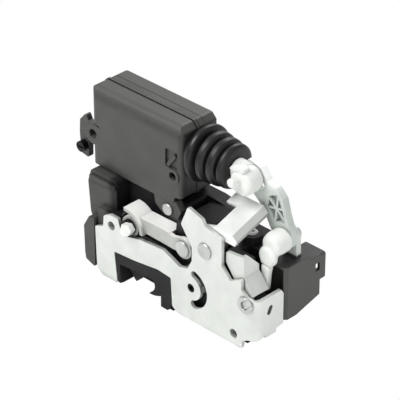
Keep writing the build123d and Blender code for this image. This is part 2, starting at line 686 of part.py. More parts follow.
with BuildPart() as lock_lever:
    plate(
        facing(lever_face),
        [(-27.0, 37.0), (-23.5, 33.4), (-16.5, 33.4), (-13.6, 38.0), (-13.2, strip_foot - 4.0),
         (-1.4, strip_foot - 4.0), (-1.4, strip_foot - 1.0), (strip_fold, strip_foot + strip_sheet),
         (strip_left, strip_foot + strip_sheet), (-26.5, strip_foot - 2)],
        lever_sheet, corner=0.8,
    )
    extrude(strip_section(strip_left, 0), amount=strip_fold - strip_left)
    loft([strip_section(strip_fold, 0), strip_section(strip_right, 2.6)])
    with BuildSketch(across(strip_left - 7.0)) as tab:
        with BuildLine():
            Polyline(
                (strip_depth - 7.2, strip_head - 2.4), (strip_depth - 7.8, strip_head - 0.8),
                (strip_depth - 0.6, strip_head + strip_sheet), (strip_depth, strip_head), close=True,
            )
        make_face()
    extrude(tab.sketch, amount=8.0)
    bar(facing(0), locking_pivot, rivet_radius + running_fit, 8, Mode.SUBTRACT)
lock_lever.part.label = "lock_lever"
export_step(lock_lever.part, "parts/lock_lever.step")

inside_top = strip_foot - 7.6    # clear of the strip as the locking lever turns
with BuildPart() as inside_release_lever:
    plate(
        facing(lever_face),
        [(-7.8, inside_top - 1.8), (-7.8, 38.0), (-2.4, 31.0), (4.4, 17.4), (10.4, 17.0), (10.0, 25.2),
         (4.5, 34.4), (4.5, inside_top - 0.4)],
        lever_sheet, corner=1.0,
    )
    with BuildSketch(across(2.5)) as wing:
        with BuildLine():
            Polyline((lever_face, 31), (lever_face, inside_top - 0.4), (5.4, inside_top - 0.2),
                     (13.4, 37.5), (13.4, 34.2),
                     (lever_face + lever_sheet, 31), close=True)
        make_face()
    extrude(wing.sketch, amount=2.0)
    plate(facing(lever_face), [(4.5, 34.4), (11.4, 26.0), (10.0, 24.8), (3.0, 33.2)], 11.0)
    bar(facing(0), inner_pivot, rivet_radius + running_fit, 8, Mode.SUBTRACT)
inside_release_lever.part.label = "inside_release_lever"
export_step(inside_release_lever.part, "parts/inside_release_lever.step")

# ================================================================ actuator
shell_left = act_left + act_wall
shell_right = act_right - act_wall
shell_foot = act_foot + act_wall
shell_top = act_top - act_wall
gear_z = rod_z - rack_drop - rack_module * pinion_teeth / 2
gear_centre = (gear_x, gear_z)
motor_centre = polar(gear_centre, wheel_module * (wheel_teeth + motor_teeth) / 2, 210)
cover_screws = [(-107.0, 52.8), (-107.0, 89.2), (-52.5, 89.2), (-63.0, 52.8)]
ear_hole = (-123.2, 53.0)
act_outline = [
    (act_left, act_foot), (act_left, 59.0), (-106.5, 60.5), (-106.5, 71.0), (act_left, 72.5),
    (act_left, act_top), (act_right - 3.4, act_top), (act_right, act_top - 3.4),
    (act_right, act_foot + 4.3),
    (act_right - 5.8, act_foot + 4.3), (act_right - 5.8, act_foot),
]

with BuildPart() as actuator_front_shell:
    plate(facing(act_front), act_outline, act_seam - act_front, corner=2.0)
    with BuildSketch(across(act_left - 1)) as side_form:
        with Locations(((act_front + act_back) / 2, (act_foot + act_top) / 2)):
            Rectangle(act_back - act_front, act_top - act_foot)
        fillet(side_form.vertices().group_by(Axis.Y)[-1].sort_by(Axis.X)[0], act_round)
    extrude(side_form.sketch, amount=act_right - act_left + 2, mode=Mode.INTERSECT)
    with BuildSketch(level(act_foot)) as plan_form:
        with Locations(((act_left + act_right) / 2, (act_front + act_back) / 2)):
            Rectangle(act_right - act_left, act_back - act_front)
        fillet(plan_form.vertices().group_by(Axis.Y)[0], act_round - 1)
    extrude(plan_form.sketch, amount=act_top - act_foot, mode=Mode.INTERSECT)
    # lugs: eye at the left, ear with the captive screw, foot riveted to the tower
    hull(facing(act_front), [((-112.4, 65.3), 6.0), ((-105.0, 65.3), 4.6)], 4.0)
    plate(
        facing(15.0),
        [(-121.8, 72.4), (-126.5, 67.0), (-126.9, 59.6), (-126.2, 47.3), (-120.3, 46.2),
         (-119.9, 57.6), (-112.0, 58.4), (-112.0, 68.0), (-119.9, 68.4)],
        3.2, corner=1.0,
    )
    plate(
        facing(act_front + 0.4),
        [(-68.0, act_foot + 1), (-67.0, 43.0), (-60.0, 38.2), (-52.0, 37.0), (-48.2, 45.0),
         (-52.0, act_foot + 1)],
        tower_face - act_front - 0.4, corner=1.0,
    )
    block(facing(act_front + 3), (-68.0, act_foot), (-53.5, act_foot + 3), 6)
    # raised frame of the joint and the step in the roof
    plate(facing(act_seam - 2.6), act_outline, 2.6, corner=2.0, grow=0.5)
    for y in (act_seam - 2.6, act_seam - 0.7):
        with BuildSketch(facing(y)) as groove:
            with BuildLine():
                Polyline((act_left - 1, act_top - 0.6), (act_left - 1, act_top + 1),
                         (act_right + 1, act_top + 1), (act_right + 1, act_top - 8),
                         (act_right - 0.6, act_top - 8), (act_right - 0.6, act_top - 3.9),
                         (act_right - 3.9, act_top - 0.6), close=True)
            make_face()
        extrude(groove.sketch, amount=-0.7, mode=Mode.SUBTRACT)
    # boss with a hole and recess of the hook at the right end
    bar(facing(act_front - 0.6), (-53.4, 64.6), 4.2, 3)
    block(facing(act_front - 1), (-59.0, 68.5), (-50.4, 79.0), 2.2, corner=1.0, mode=Mode.SUBTRACT)
    plate(facing(act_front - 0.2), [(-58.2, 70.0), (-52.6, 77.6), (-51.2, 76.2), (-56.6, 69.0)], 2.0)
    # hollow inside, open to the rear
    block(facing(act_front + act_wall), (shell_left + 5.4, shell_foot), (shell_right, shell_top), 40,
          corner=1.5, mode=Mode.SUBTRACT)
    for centre in cover_screws:
        bar(facing(act_front + act_wall - 0.5), centre, 3.0, act_seam - act_front - act_wall + 0.5)
        bar(facing(act_front + 4), centre, 1.2, 30, Mode.SUBTRACT)
    bar(facing(act_front + act_wall - 0.5), gear_centre, 3.2, 1.4)
    bar(facing(act_front + act_wall - 0.8), gear_centre, gear_pin_radius, 30, Mode.SUBTRACT)
    bar(across(act_right + 1), (rod_y, rod_z), 5.6, 5, Mode.SUBTRACT)
    bar(facing(0), (-53.4, 64.6), 2.4, act_front + 2.6, Mode.SUBTRACT)
    bar(facing(0), (-112.4, 65.3), 2.75, 40, Mode.SUBTRACT)
    bar(facing(0), ear_hole, 1.7, 40, Mode.SUBTRACT)
    bar(facing(0), lug_rivet, rivet_small + running_fit, 30, Mode.SUBTRACT)
actuator_front_shell.part.label = "actuator_front_shell"
export_step(actuator_front_shell.part, "parts/actuator_front_shell.step")

with BuildPart() as actuator_rear_cover:
    plate(facing(act_seam), act_outline, act_back - act_seam, corner=2.0)
    fillet(actuator_rear_cover.faces().sort_by(Axis.Y)[-1].outer_wire().edges(), 2.0)
    block(facing(act_seam), (shell_left + 5.4, shell_foot), (shell_right, shell_top),
          act_back - act_seam - act_wall, corner=1.5, mode=Mode.SUBTRACT)
    for centre in cover_screws:
        bar(facing(act_seam), centre, 3.0, act_back - act_seam)
        bar(facing(act_seam), centre, 1.7, 40, Mode.SUBTRACT)
        bar(facing(act_back - 2.4), centre, 2.9, 40, Mode.SUBTRACT)
    bar(facing(act_back - act_wall - 2.4), gear_centre, 3.2, 2.4)
    bar(facing(act_back - act_wall - 2.6), gear_centre, gear_pin_radius, 3.2, Mode.SUBTRACT)
    bar(facing(act_back - 5.0), motor_centre, motor_radius + 1.4, 3.5)
    bar(facing(act_back - 6.0), motor_centre, motor_radius + 0.15, 4.0, Mode.SUBTRACT)
    bar(across(act_right + 1), (rod_y, rod_z), 5.6, 5, Mode.SUBTRACT)
    for x in (-98, -90, -70, -62):
        block(facing(act_back - 0.4), (x, 56.0), (x + 1.4, 86.0), 0.9)
actuator_rear_cover.part.label = "actuator_rear_cover"
export_step(actuator_rear_cover.part, "parts/actuator_rear_cover.step")

with BuildPart() as actuator_screws:
    for centre in cover_screws:
        bar(facing(act_back - 2.4), centre, 2.6, 2.0)
        bar(facing(act_front + 4.5), centre, 1.2, act_back - act_front - 6.9)
        block(facing(act_back - 1.4), (centre[0] - 1.7, centre[1] - 0.4), (centre[0] + 1.7, centre[1] + 0.4),
              2, mode=Mode.SUBTRACT)
actuator_screws.part.label = "actuator_screws"
export_step(actuator_screws.part, "parts/actuator_screws.step")

with BuildPart() as fixing_screw:
    bar(facing(11.6), ear_hole, 3.0, 3.4)
    bar(facing(15.0), ear_hole, 1.65, 10.0)
    block(facing(11), (ear_hole[0] - 2.2, ear_hole[1] - 0.5), (ear_hole[0] + 2.2, ear_hole[1] + 0.5),
          1.8, mode=Mode.SUBTRACT)
    chamfer(fixing_screw.faces().sort_by(Axis.Y)[-1].edges(), 0.6)
fixing_screw.part.label = "fixing_screw"
export_step(fixing_screw.part, "parts/fixing_screw.step")

with BuildPart() as actuator_rivet:
    bar(facing(act_front - 1.0), lug_rivet, 3.4, 1.4)
    bar(facing(act_front + 0.4), lug_rivet, rivet_small, 9.0)
    fillet(actuator_rivet.faces().sort_by(Axis.Y)[0].edges(), 0.8)
actuator_rivet.part.label = "actuator_rivet"
export_step(actuator_rivet.part, "parts/actuator_rivet.step")

# ================================================================ drive inside the actuator
wheel_face = act_front + act_wall + 2.0


def gear(plane, centre, teeth, module, length, phase):
    """Spur gear with straight flanks and thin teeth; one tooth points at the phase angle."""
    step = 360 / teeth
    outer = module * (teeth / 2 + 0.85)
    root = module * (teeth / 2 - 1.15)
    outline = []
    for i in range(teeth):
        middle = phase + i * step
        outline += [
            polar(centre, root, middle - 0.25 * step), polar(centre, outer, middle - 0.09 * step),
            polar(centre, outer, middle + 0.09 * step), polar(centre, root, middle + 0.25 * step),
        ]
    plate(plane, outline, length)


with BuildPart() as gear_pin:
    bar(facing(act_front + act_wall - 0.8), gear_centre, gear_pin_radius, act_back - act_front - 4.0)
gear_pin.part.label = "gear_pin"
export_step(gear_pin.part, "parts/gear_pin.step")

with BuildPart() as drive_gear:
    gear(facing(wheel_face), gear_centre, wheel_teeth, wheel_module, 3.4, 210 + 180 / wheel_teeth)
    bar(facing(wheel_face), gear_centre, 4.4, rod_y - 3 - wheel_face)
    gear(facing(rod_y - 3), gear_centre, pinion_teeth, rack_module, 6.0, 90)
    bar(facing(0), gear_centre, gear_pin_radius + running_fit, 60, Mode.SUBTRACT)
drive_gear.part.label = "drive_gear"
export_step(drive_gear.part, "parts/drive_gear.step")

with BuildPart() as motor_pinion:
    gear(facing(wheel_face), motor_centre, motor_teeth, wheel_module, 3.4, 30)
    bar(facing(wheel_face), motor_centre, 1.0, motor_face + 2 - wheel_face)
motor_pinion.part.label = "motor_pinion"
export_step(motor_pinion.part, "parts/motor_pinion.step")

with BuildPart() as motor:
    bar(facing(motor_face), motor_centre, motor_radius, act_back - act_wall - 0.2 - motor_face)
    bar(facing(motor_face - 1.2), motor_centre, 3.0, 1.2)
    bar(facing(motor_face - 2), motor_centre, 1.0 + running_fit, 5.0, Mode.SUBTRACT)
motor.part.label = "motor"
export_step(motor.part, "parts/motor.step")

rack_pitch = pi * rack_module
rack_left = -104.0
rack_line = rod_z - rack_drop
with BuildPart() as plunger:
    bar(across(pin_x - 3), (rod_y, rod_z), rod_radius, pin_x - 3 - rack_left)
    block(facing(rod_y - 3), (rack_left, rack_line + 1.2), (gear_x + 9, rod_z + 2), 6.0)
    block(facing(rod_y - 4), (rack_left - 1, rod_z - 4), (gear_x + 9, rack_line + 1.2), 8.0,
          mode=Mode.SUBTRACT)
    for i in range(int((gear_x + 8 - rack_left) / rack_pitch)):
        middle = gear_x + rack_pitch * (2.5 - i)
        plate(
            facing(rod_y - 3),
            [(middle - 0.27 * rack_pitch, rack_line + 1.2), (middle - 0.1 * rack_pitch, rack_line - 0.8),
             (middle + 0.1 * rack_pitch, rack_line - 0.8), (middle + 0.27 * rack_pitch, rack_line + 1.2)],
            6.0,
        )
plunger.part.label = "plunger"
export_step(plunger.part, "parts/plunger.step")

with BuildPart() as rod_guide:
    bar(across(act_right + 0.5), (rod_y, rod_z), 5.6, act_wall + 1.3)
    bar(across(shell_right), (rod_y, rod_z), 6.6, 0.8)
    bar(across(act_right + 2), (rod_y, rod_z), rod_radius + running_fit, 8, Mode.SUBTRACT)
rod_guide.part.label = "rod_guide"
export_step(rod_guide.part, "parts/rod_guide.step")

# ================================================================ bellows
bellows_left = act_right + 0.5
bellows_right = -19.6
with BuildPart() as bellows:
    with BuildSketch(Plane(origin=(0, rod_y, rod_z), x_dir=(1, 0, 0), z_dir=(0, -1, 0))) as profile:
        with BuildLine():
            Polyline(
                (bellows_left, 7.0), (bellows_left, 14.2), (-45.4, 15.6), (-42.6, 15.2),
                (-40.4, 9.6), (-39.2, 9.6), (-37.4, 12.9), (-35.8, 12.9), (-33.8, 9.2),
                (-32.6, 9.2), (-30.8, 12.6), (-29.2, 12.6), (-27.2, 8.6), (-26.0, 8.6),
                (-24.4, 12.2), (-22.8, 11.8), (-20.8, 8.0), (bellows_right, 7.6),
                (bellows_right, rod_radius + 0.1), (bellows_right - 1.4, rod_radius + 0.1),
                (bellows_right - 1.4, 6.2), (-23.2, 9.8), (-24.0, 9.8), (-25.6, 7.0),
                (-27.6, 7.0), (-29.8, 10.6), (-30.4, 10.6), (-32.2, 7.6), (-34.2, 7.6),
                (-36.2, 11.0), (-37.0, 11.0), (-38.8, 8.0), (-40.8, 8.0), (-43.4, 12.6),
                (-45.4, 12.6), close=True,
            )
        make_face()
        fillet(profile.vertices(), 0.35)
    revolve(profile.sketch, axis=Axis((0, rod_y, rod_z), (1, 0, 0)))
bellows.part.label = "bellows"
export_step(bellows.part, "parts/bellows.step")

# ================================================================ rod end and link
link_back = arm_face + arm_thick
with BuildPart() as rod_end_clip:
    bar(facing(17.6), (pin_x, rod_z), clip_radius, 9.0)
    fillet(rod_end_clip.edges().filter_by(GeomType.CIRCLE), 1.6)
    block(facing(19.0), (pin_x - 3.0, rod_z - 9.4), (pin_x + 3.0, rod_z), 6.0, corner=1.0)
    bar(facing(10.0), (pin_x, rod_z), pin_radius, link_back - 10.0 + 1.2)
    bar(across(pin_x - 3), (rod_y, rod_z), rod_radius, 14, Mode.SUBTRACT)
rod_end_clip.part.label = "rod_end_clip"
export_step(rod_end_clip.part, "parts/rod_end_clip.step")

knob = (knob_x, knob_z)
pin_reach = hypot(pin_x - knob_x, rod_z - knob_z)
pin_angle = degrees(atan2(rod_z - knob_z, pin_x - knob_x))
near_reach = rod_z - knob_z
with BuildPart() as link_arm:
    plate(
        facing(arm_face),
        [(-16.6, 84.0), (-19.4, 76.0), (-14.0, 66.0), (-7.0, 60.4), (-1.2, 50.7), (3.6, 43.4),
         (13.4, 43.4), (12.6, 53.0), (9.4, 61.0), (7.0, 69.4), (2.0, 74.2), (-3.6, 75.4), (-8.6, 81.8)],
        arm_thick, corner=1.8,
    )
    # hollow of the front side, with crossed ribs left standing
    plate(
        facing(arm_face),
        [(2.0, 55.2), (8.6, 56.4), (7.0, 62.4), (3.4, 70.6), (-2.0, 68.4), (-3.2, 61.6)],
        2.4, corner=1.2, mode=Mode.SUBTRACT,
    )
    for first, second in (((2.0, 56.0), (3.6, 70.4)), ((8.4, 57.6), (-2.6, 67.0)),
                          ((-2.4, 61.6), (7.0, 63.6))):
        hull(facing(arm_face + 0.2), [(first, 0.6), (second, 0.6)], arm_thick - 0.4)
    hull(facing(arm_face - 1),
         [(polar(knob, pin_reach + 0.4, pin_angle), pin_radius + link_play),
          (polar(knob, near_reach - 0.3, pin_angle), pin_radius + link_play)],
         arm_thick + 2, Mode.SUBTRACT)
    bar(facing(arm_face - 1), knob, rivet_radius + running_fit, arm_thick + 2, Mode.SUBTRACT)
link_arm.part.label = "link_arm"
export_step(link_arm.part, "parts/link_arm.step")

crank_end = (6.0, 22.6)
with BuildPart() as lock_crank:
    bar(facing(crank_face), knob, 4.6, arm_face - crank_face)
    bar(facing(crank_face + 5), knob, knob_radius, arm_face - crank_face - 5)
    fillet(lock_crank.edges().filter_by(lambda edge: edge.geom_type == GeomType.CIRCLE
                                        and edge.radius > knob_radius - 0.1), 1.0)
    hull(facing(crank_face), [(knob, 4.6), ((6.2, 37.0), 3.4)], crank_thick)
    hull(facing(crank_face), [((6.2, 37.0), 3.4), (crank_end, 2.5)], crank_thick)
    bar(facing(crank_face + 2), knob, rivet_radius + running_fit, 30, Mode.SUBTRACT)
lock_crank.part.label = "lock_crank"
export_step(lock_crank.part, "parts/lock_crank.step")

# ================================================================ connector
lug_face = link_back + 0.4
socket_top = plug_top - 2.8
terminal_places = [(x, z) for x in (4.6, 8.2, 11.8) for z in (21.2, 28.6)]
with BuildPart() as connector_body:
    with BuildSketch(across(plug_left)) as side:
        with BuildLine():
            Polyline(
                (plug_front, plug_foot), (plug_front, plug_top), (37.0, plug_top),
                (39.0, socket_top), (plug_back, socket_top),
                (plug_back, plug_foot + 4.6), (plug_front + 8, plug_foot), close=True,
            )
        make_face()
    extrude(side.sketch, amount=plug_right - plug_left)
    chamfer(connector_body.edges().filter_by(Axis.Z).sort_by(Axis.Y)[:2].sort_by(Axis.X)[-1], 1.6)
    # pocket in the front, beside the crank
    block(facing(plug_front - 1), (plug_left + 1.6, 16.0), (plug_right - 2.2, plug_top - 1.6), 6.0,
          corner=1.0, mode=Mode.SUBTRACT)
    # socket, open to the rear
    block(facing(40.0), (plug_left + 1.0, 17.0), (plug_right - 0.6, socket_top - 0.6), 10.6, corner=1.4)
    block(facing(38.0), (plug_left + 2.6, 18.6), (plug_right - 2.2, socket_top - 2.2), 20, corner=1.0,
          mode=Mode.SUBTRACT)
    block(across(plug_right), (42.6, 24.4), (46.4, 29.0), 2.4, mode=Mode.SUBTRACT)
    for x, z in terminal_places:
        block(facing(36.0), (x - 0.4, z - 1.1), (x + 0.4, z + 1.1), 10.0, mode=Mode.SUBTRACT)
    # upright lug that carries the crank pin
    hull(facing(lug_face), [(knob, 3.9), ((5.0, plug_top - 1), 1.0), ((12.0, plug_top - 1), 1.0)], 3.4)
    bar(facing(lug_face - 1), knob, rivet_radius, 6, Mode.SUBTRACT)
connector_body.part.label = "connector_body"
export_step(connector_body.part, "parts/connector_body.step")

with BuildPart() as connector_terminals:
    for x, z in terminal_places:
        block(facing(36.0), (x - 0.4, z - 1.1), (x + 0.4, z + 1.1), 10.0)
connector_terminals.part.label = "connector_terminals"
export_step(connector_terminals.part, "parts/connector_terminals.step")

with BuildPart() as crank_pin:
    bar(facing(crank_face + 2.4), knob, rivet_radius, lug_face + 3.4 - crank_face - 2.4)
    bar(facing(lug_face + 3.4), knob, rivet_radius + 1.2, 1.2)
    chamfer(crank_pin.faces().sort_by(Axis.Y)[-1].edges(), 0.4)
crank_pin.part.label = "crank_pin"
export_step(crank_pin.part, "parts/crank_pin.step")

with BuildPart() as microswitch:
    block(facing(back_plate_face + back_plate_thick), (-91.0, 8.0), (-73.0, 18.0), 7.0, corner=0.6)
    block(facing(back_plate_face + back_plate_thick + 2.0), (-73.0, 11.0), (-71.2, 14.0), 3.0)
    for x in (-88.0, -82.0, -76.0):
        block(facing(back_plate_face + back_plate_thick + 7.0), (x - 0.4, 9.0), (x + 0.4, 12.0), 3.6)
microswitch.part.label = "microswitch"
export_step(microswitch.part, "parts/microswitch.step")
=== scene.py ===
"""Looks of a vehicle door latch with its locking actuator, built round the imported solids."""
import math

import bpy
import numpy as np
from bpy.props import FloatProperty, FloatVectorProperty, PointerProperty
from mathutils import Matrix, Vector


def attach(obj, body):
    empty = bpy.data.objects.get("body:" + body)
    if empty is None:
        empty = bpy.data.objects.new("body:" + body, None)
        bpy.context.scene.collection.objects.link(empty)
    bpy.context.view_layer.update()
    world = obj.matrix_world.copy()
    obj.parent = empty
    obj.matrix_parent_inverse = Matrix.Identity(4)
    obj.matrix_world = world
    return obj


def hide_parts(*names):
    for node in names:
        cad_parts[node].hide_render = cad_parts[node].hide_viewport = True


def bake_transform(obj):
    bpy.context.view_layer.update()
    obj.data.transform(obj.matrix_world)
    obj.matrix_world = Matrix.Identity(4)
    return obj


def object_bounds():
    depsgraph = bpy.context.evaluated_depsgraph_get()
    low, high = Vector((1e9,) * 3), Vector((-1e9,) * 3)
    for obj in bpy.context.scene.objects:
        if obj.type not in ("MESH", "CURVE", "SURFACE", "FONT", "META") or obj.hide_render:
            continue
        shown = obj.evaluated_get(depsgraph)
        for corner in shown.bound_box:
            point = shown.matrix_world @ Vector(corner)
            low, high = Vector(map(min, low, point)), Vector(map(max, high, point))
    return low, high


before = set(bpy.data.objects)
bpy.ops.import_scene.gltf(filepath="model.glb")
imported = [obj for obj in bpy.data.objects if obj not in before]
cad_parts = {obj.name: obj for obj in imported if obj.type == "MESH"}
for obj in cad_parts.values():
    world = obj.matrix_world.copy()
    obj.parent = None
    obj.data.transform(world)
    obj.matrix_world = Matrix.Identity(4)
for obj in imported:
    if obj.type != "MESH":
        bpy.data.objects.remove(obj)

bl_info = {
    "name": "Door latch actuator",
    "version": (1, 0, 0),
    "blender": (4, 5, 0),
    "location": "View3D > Sidebar > Latch",
    "description": "Finishes and soft pieces of a door latch with a locking actuator",
    "category": "Object",
}

MM = 0.001
CAD_BOX = [list(corner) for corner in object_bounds()]
ROD_AXIS = (24.0, 77.5)          # Y and Z of the plunger's axis, mm
ROD_PIN = (-13.0, 77.5)          # X and Z of the cross pin in the rod end, mm
ROD_HEAD = (-12.0, 75.6)         # X and Z of the rod end's round head, mm
CRANK_PIVOT = (8.5, 48.0)        # X and Z of the crank's upper knuckle, mm
CRANK_ELBOW = (7.6, 42.0)        # X and Z of the crank's lower knuckle, mm
SLEEVE_START, SLEEVE_END = -21.2, -12.2    # X of the ribbed sleeve, mm
SLEEVE_RIBS, RIB_PITCH = 15, 0.6           # number of crests and roots, and their step, mm
BELLOWS_SIDES = 96
OPEN_AO, CORNER_AO = 0.85, 0.25  # ambient occlusion of a free face and of a filled corner
FLOOR_HALF = 3.0                 # half the floor's side, m
FLOW_PATCH, CLOUD_PATCH = 14, 9  # size of the colour patches on plastic and on zinc, mm
MOULDED_SPREAD, ZINC_SPREAD = 0.06, 0.07   # how far the roughness varies either way
GRAIN_STRENGTH, ROLLING_STRENGTH = 0.6, 0.25
ROLLING_SCALE, ROLLING_DEPTH = 900.0, 0.02    # marks per m and their depth in mm


def linear(hex_colour):
    """sRGB hex text to linear red, green and blue: c/12.92 up to 0.04045, and above it
    ((c + 0.055)/1.055)^2.4."""
    parts = np.array([int(hex_colour[i:i + 2], 16) / 255 for i in (0, 2, 4)])
    return tuple(np.where(parts <= 0.04045, parts / 12.92, ((parts + 0.055) / 1.055) ** 2.4))


def colour_property(name, description, hex_colour):
    return FloatVectorProperty(name=name, description=description, subtype="COLOR", size=3,
                               min=0, max=1, default=linear(hex_colour))


def length_property(name, description, millimetres):
    return FloatProperty(name=name, description=description, default=millimetres * MM, min=0,
                         unit="LENGTH", subtype="DISTANCE")


# ---------------------------------------------------------------- material building
def add(tree, kind, settings=None, links=None):
    """Adds one shader node; settings and links are keyed by an input or property name or index."""
    node = tree.nodes.new(kind)
    for key, value in (settings or {}).items():
        if isinstance(key, int) or key in node.inputs:
            node.inputs[key].default_value = value
        else:
            setattr(node, key, value)
    for key, socket in (links or {}).items():
        tree.links.new(socket, node.inputs[key])
    return node


def opened(name):
    """An empty node material with its Object coordinates."""
    made = bpy.data.materials.new(name)
    made.use_nodes = True
    made.node_tree.nodes.clear()
    coords = add(made.node_tree, "ShaderNodeTexCoord")
    return made, made.node_tree, coords.outputs["Object"]


def rgba(colour):
    return (*tuple(colour)[:3], 1.0)


def mottled(tree, where, light, dark, patch_mm, low=0.35, high=0.65):
    """Two tones of one colour mixed by soft patches of the given size."""
    patches = add(tree, "ShaderNodeTexNoise", {"Scale": 1 / (patch_mm * MM), "Detail": 4.0},
                  {"Vector": where})
    spread = add(tree, "ShaderNodeMapRange", {"From Min": low, "From Max": high},
                 {"Value": patches.outputs["Fac"]})
    mix = add(tree, "ShaderNodeMix", {"data_type": "RGBA", 6: rgba(dark), 7: rgba(light)},
              {0: spread.outputs["Result"]})
    return mix.outputs[2], spread.outputs["Result"]


def shaded_corners(tree, colour, dark, reach_mm, strength):
    """The colour with painted shade darkening its corners and creases, found by ambient occlusion.
    """
    corners = add(tree, "ShaderNodeAmbientOcclusion", {"samples": 8, "Distance": reach_mm * MM})
    depth = add(tree, "ShaderNodeMapRange",
                {"From Min": CORNER_AO, "From Max": OPEN_AO, "To Min": strength, "To Max": 0.0},
                {"Value": corners.outputs["AO"]})
    mix = add(tree, "ShaderNodeMix", {"data_type": "RGBA", 7: rgba(dark)},
              {0: depth.outputs["Result"], 6: colour})
    return mix.outputs[2]


def toned(tree, where, colour, tones):
    """The colour with further tones over it. Each one takes over between two values along an
    axis: places in mm for an "at" tone, the way the surface faces for a "facing" one. A
    "facing" tone is painted light or shade, set by the way the surface faces."""
    normal_for_painted_light = add(tree, "ShaderNodeTexCoord").outputs["Normal"]
    for kind, axis, start, end, other in tones:
        source, unit = (where, MM) if kind == "at" else (normal_for_painted_light, 1.0)
        parts = add(tree, "ShaderNodeSeparateXYZ", None, {"Vector": source})
        share = add(tree, "ShaderNodeMapRange",
                    {"From Min": start * unit, "From Max": end * unit,
                     "interpolation_type": "SMOOTHSTEP"}, {"Value": parts.outputs[axis]})
        mix = add(tree, "ShaderNodeMix", {"data_type": "RGBA", 7: rgba(other)},
                  {0: share.outputs["Result"], 6: colour})
        colour = mix.outputs[2]
    return colour


def closed(tree, shader):
    add(tree, "ShaderNodeOutputMaterial", None, {"Surface": shader.outputs[0]})


def moulded(name, light, dark, roughness, grain_mm, grain_depth_mm, edge_mm=0.25, specular=0.5,
            settings=None, tones=(), corners=None):
    """Injection-moulded plastic: an eroded mould's fine grain as bump, faint flow patches in
    colour, and edges rounded by the mould's small radii, with further tones over it, painted
    light and shade among them, and the (colour, reach, strength) of the painted shade in its
    corners."""
    made, tree, where = opened(name)
    colour, patches = mottled(tree, where, light, dark, FLOW_PATCH)
    colour = toned(tree, where, colour, tones)
    if corners:
        colour = shaded_corners(tree, colour, *corners)
    grain = add(tree, "ShaderNodeTexNoise",
                {"Scale": 1 / (grain_mm * MM), "Detail": 3.0, "Roughness": 0.6}, {"Vector": where})
    edge = add(tree, "ShaderNodeBevel", {"samples": 4, "Radius": edge_mm * MM})
    bump = add(tree, "ShaderNodeBump",
               {"Strength": GRAIN_STRENGTH, "Distance": grain_depth_mm * MM},
               {"Height": grain.outputs["Fac"], "Normal": edge.outputs[0]})
    rough = add(tree, "ShaderNodeMapRange",
                {"To Min": roughness - MOULDED_SPREAD, "To Max": roughness + MOULDED_SPREAD},
                {"Value": patches})
    shader = add(tree, "ShaderNodeBsdfPrincipled",
                 {"IOR": 1.5, "Specular IOR Level": specular, **(settings or {})},
                 {"Base Color": colour, "Roughness": rough.outputs["Result"],
                  "Normal": bump.outputs[0]})
    closed(tree, shader)
    return made


def pressed(name, light, dark, roughness, edge_mm=0.3, streak=(1, 1, 6), metallic=0.9,
            tones=(), corners=None):
    """Zinc-plated sheet pressing: cloudy passivation, faint rolling streaks and rounded edges,
    with further tones over it, painted light and shade among them, and the (colour, reach,
    strength) of the painted shade in its corners."""
    made, tree, where = opened(name)
    colour, patches = mottled(tree, where, light, dark, CLOUD_PATCH, 0.3, 0.7)
    colour = toned(tree, where, colour, tones)
    if corners:
        colour = shaded_corners(tree, colour, *corners)
    turned = add(tree, "ShaderNodeMapping", {"Scale": streak}, {"Vector": where})
    rolled = add(tree, "ShaderNodeTexNoise", {"Scale": ROLLING_SCALE, "Detail": 2.0},
                 {"Vector": turned.outputs[0]})
    edge = add(tree, "ShaderNodeBevel", {"samples": 4, "Radius": edge_mm * MM})
    bump = add(tree, "ShaderNodeBump",
               {"Strength": ROLLING_STRENGTH, "Distance": ROLLING_DEPTH * MM},
               {"Height": rolled.outputs["Fac"], "Normal": edge.outputs[0]})
    rough = add(tree, "ShaderNodeMapRange",
                {"To Min": roughness - ZINC_SPREAD, "To Max": roughness + ZINC_SPREAD},
                {"Value": patches})
    shader = add(tree, "ShaderNodeBsdfPrincipled", {"Metallic": metallic},
                 {"Base Color": colour, "Roughness": rough.outputs["Result"],
                  "Normal": bump.outputs[0]})
    closed(tree, shader)
    return made


def give(node, made):
    """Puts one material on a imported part's node."""
    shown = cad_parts[node]
    shown.data.materials.clear()
    shown.data.materials.append(made)


# ---------------------------------------------------------------- surfaces
def grid_faces(rows, columns, wrap):
    """Quads of a grid of rows by columns; the last column joins the first where wrap is set."""
    across = columns if wrap else columns - 1
    i, j = np.meshgrid(np.arange(rows - 1), np.arange(across), indexing="ij")
    right = (j + 1) % columns
    quads = np.stack([i * columns + j, i * columns + right, (i + 1) * columns + right,
                      (i + 1) * columns + j], axis=-1)
    return quads.reshape(-1, 4)


def mesh_object(name, vertices, faces, smooth=True):
    """Mesh object at the origin from an array of vertices in metres and a list of faces."""
    mesh = bpy.data.meshes.new(name)
    mesh.from_pydata(vertices.tolist(), [], [list(map(int, face)) for face in faces])
    mesh.polygons.foreach_set("use_smooth", np.full(len(mesh.polygons), smooth))
    mesh.update()
    shown = bpy.data.objects.new(name, mesh)
    bpy.context.collection.objects.link(shown)
    return shown


def eased(points, steps):
    """Smooth open curve through points: between neighbours p1 and p2 the Catmull-Rom cubic
    0.5(2 p1 + (p2 - p0)t + (2 p0 - 5 p1 + 4 p2 - p3)t^2 + (3 p1 - p0 - 3 p2 + p3)t^3)."""
    p = np.asarray(points, float)
    p = np.vstack([2 * p[0] - p[1], p, 2 * p[-1] - p[-2]])
    t = np.linspace(0, 1, steps, endpoint=False)[None, :, None]
    p0, p1, p2, p3 = (p[k:len(p) - 3 + k][:, None, :] for k in range(4))
    curve = 0.5 * (2 * p1 + (p2 - p0) * t + (2 * p0 - 5 * p1 + 4 * p2 - p3) * t ** 2
                   + (3 * p1 - p0 - 3 * p2 + p3) * t ** 3)
    return np.vstack([curve.reshape(-1, p.shape[1]), p[-2]])


